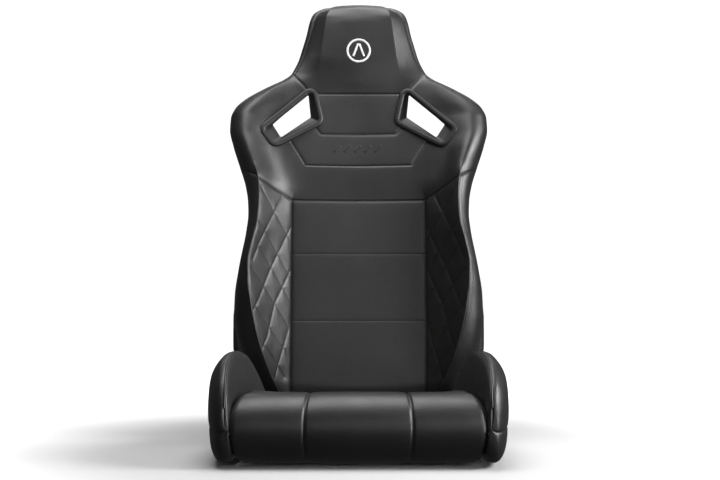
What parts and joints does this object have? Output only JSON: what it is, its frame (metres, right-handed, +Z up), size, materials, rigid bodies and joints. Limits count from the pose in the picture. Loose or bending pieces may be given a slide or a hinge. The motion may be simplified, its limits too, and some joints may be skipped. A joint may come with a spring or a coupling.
{
  "type": "reclining racing seat",
  "caption": "Leather bucket racing seat with a winged backrest, harness slots, bolstered cushion on steel rails, and a recliner released by side levers.",
  "frame": {"origin": "centre of the four floor bolt holes, on the underside of the mounting rails", "axes": "+X to the sitter's left, -Y to the front of the seat, +Z up"},
  "size_m": [0.5708, 0.6829, 0.9332],
  "materials": {
    "leather_black": "satin",
    "foam": "matte",
    "frame_steel": "satin",
    "plated_steel": "satin",
    "moulded_plastic": "satin",
    "grip_rubber": "matte",
    "emblem_thread": "satin"
  },
  "bodies": {
    "base": {"front_roll": "leather_black", "cushion_centre_pad": "leather_black", "cushion_side_pad_left": "leather_black", "cushion_side_pad_right": "leather_black", "cushion_bolster_left": "leather_black", "cushion_bolster_right": "leather_black", "seat_foam_core": "foam", "mounting_rail_left": "frame_steel", "mounting_rail_right": "frame_steel", "front_cross_tube": "frame_steel", "rear_cross_tube": "frame_steel", "side_plate_left": "frame_steel", "side_plate_right": "frame_steel", "weld_nuts": "plated_steel", "seat_springs": "plated_steel", "spring_clips": "plated_steel", "recliner_fixed_disc_left": "plated_steel", "recliner_fixed_disc_right": "plated_steel", "recliner_ring_left": "plated_steel", "recliner_ring_right": "plated_steel", "recliner_bolts_left": "plated_steel", "recliner_bolts_right": "plated_steel", "cover_standoffs_left": "plated_steel", "cover_standoffs_right": "plated_steel", "cover_screws_left": "plated_steel", "cover_screws_right": "plated_steel", "lever_return_spring_left": "plated_steel", "lever_return_spring_right": "plated_steel", "hinge_cover_left": "moulded_plastic", "hinge_cover_right": "moulded_plastic"},
    "back": {"back_hoop_tube": "frame_steel", "back_cross_tubes": "frame_steel", "back_springs": "plated_steel", "back_foam_core": "foam", "rear_cover": "leather_black", "back_insert_pad": "leather_black", "back_bolster_left": "leather_black", "back_bolster_right": "leather_black", "shoulder_pad": "leather_black", "head_pad": "leather_black", "head_emblem": "emblem_thread", "harness_bezel_left": "moulded_plastic", "harness_bezel_right": "moulded_plastic", "harness_bezel_rear_left": "moulded_plastic", "harness_bezel_rear_right": "moulded_plastic", "recliner_arm_left": "frame_steel", "recliner_arm_right": "frame_steel", "recliner_moving_disc_left": "plated_steel", "recliner_moving_disc_right": "plated_steel", "arm_bolts_left": "plated_steel", "arm_bolts_right": "plated_steel"},
    "release": {"release_rod": "plated_steel", "release_lever_left": "frame_steel", "release_lever_right": "frame_steel", "lever_grip_left": "grip_rubber", "lever_grip_right": "grip_rubber"}
  },
  "joints": [
    {"name": "recline", "type": "hinge", "parent": "base", "child": "back", "pos_m": [0, 0.205, 0.11], "axis": [1, 0, 0], "range_deg": [-50, 20]},
    {"name": "release_lift", "type": "hinge", "parent": "base", "child": "release", "pos_m": [0, 0.205, 0.11], "axis": [-1, 0, 0], "range_deg": [0, 35], "stiffness_Nm_per_rad": 0.8}
  ]
}
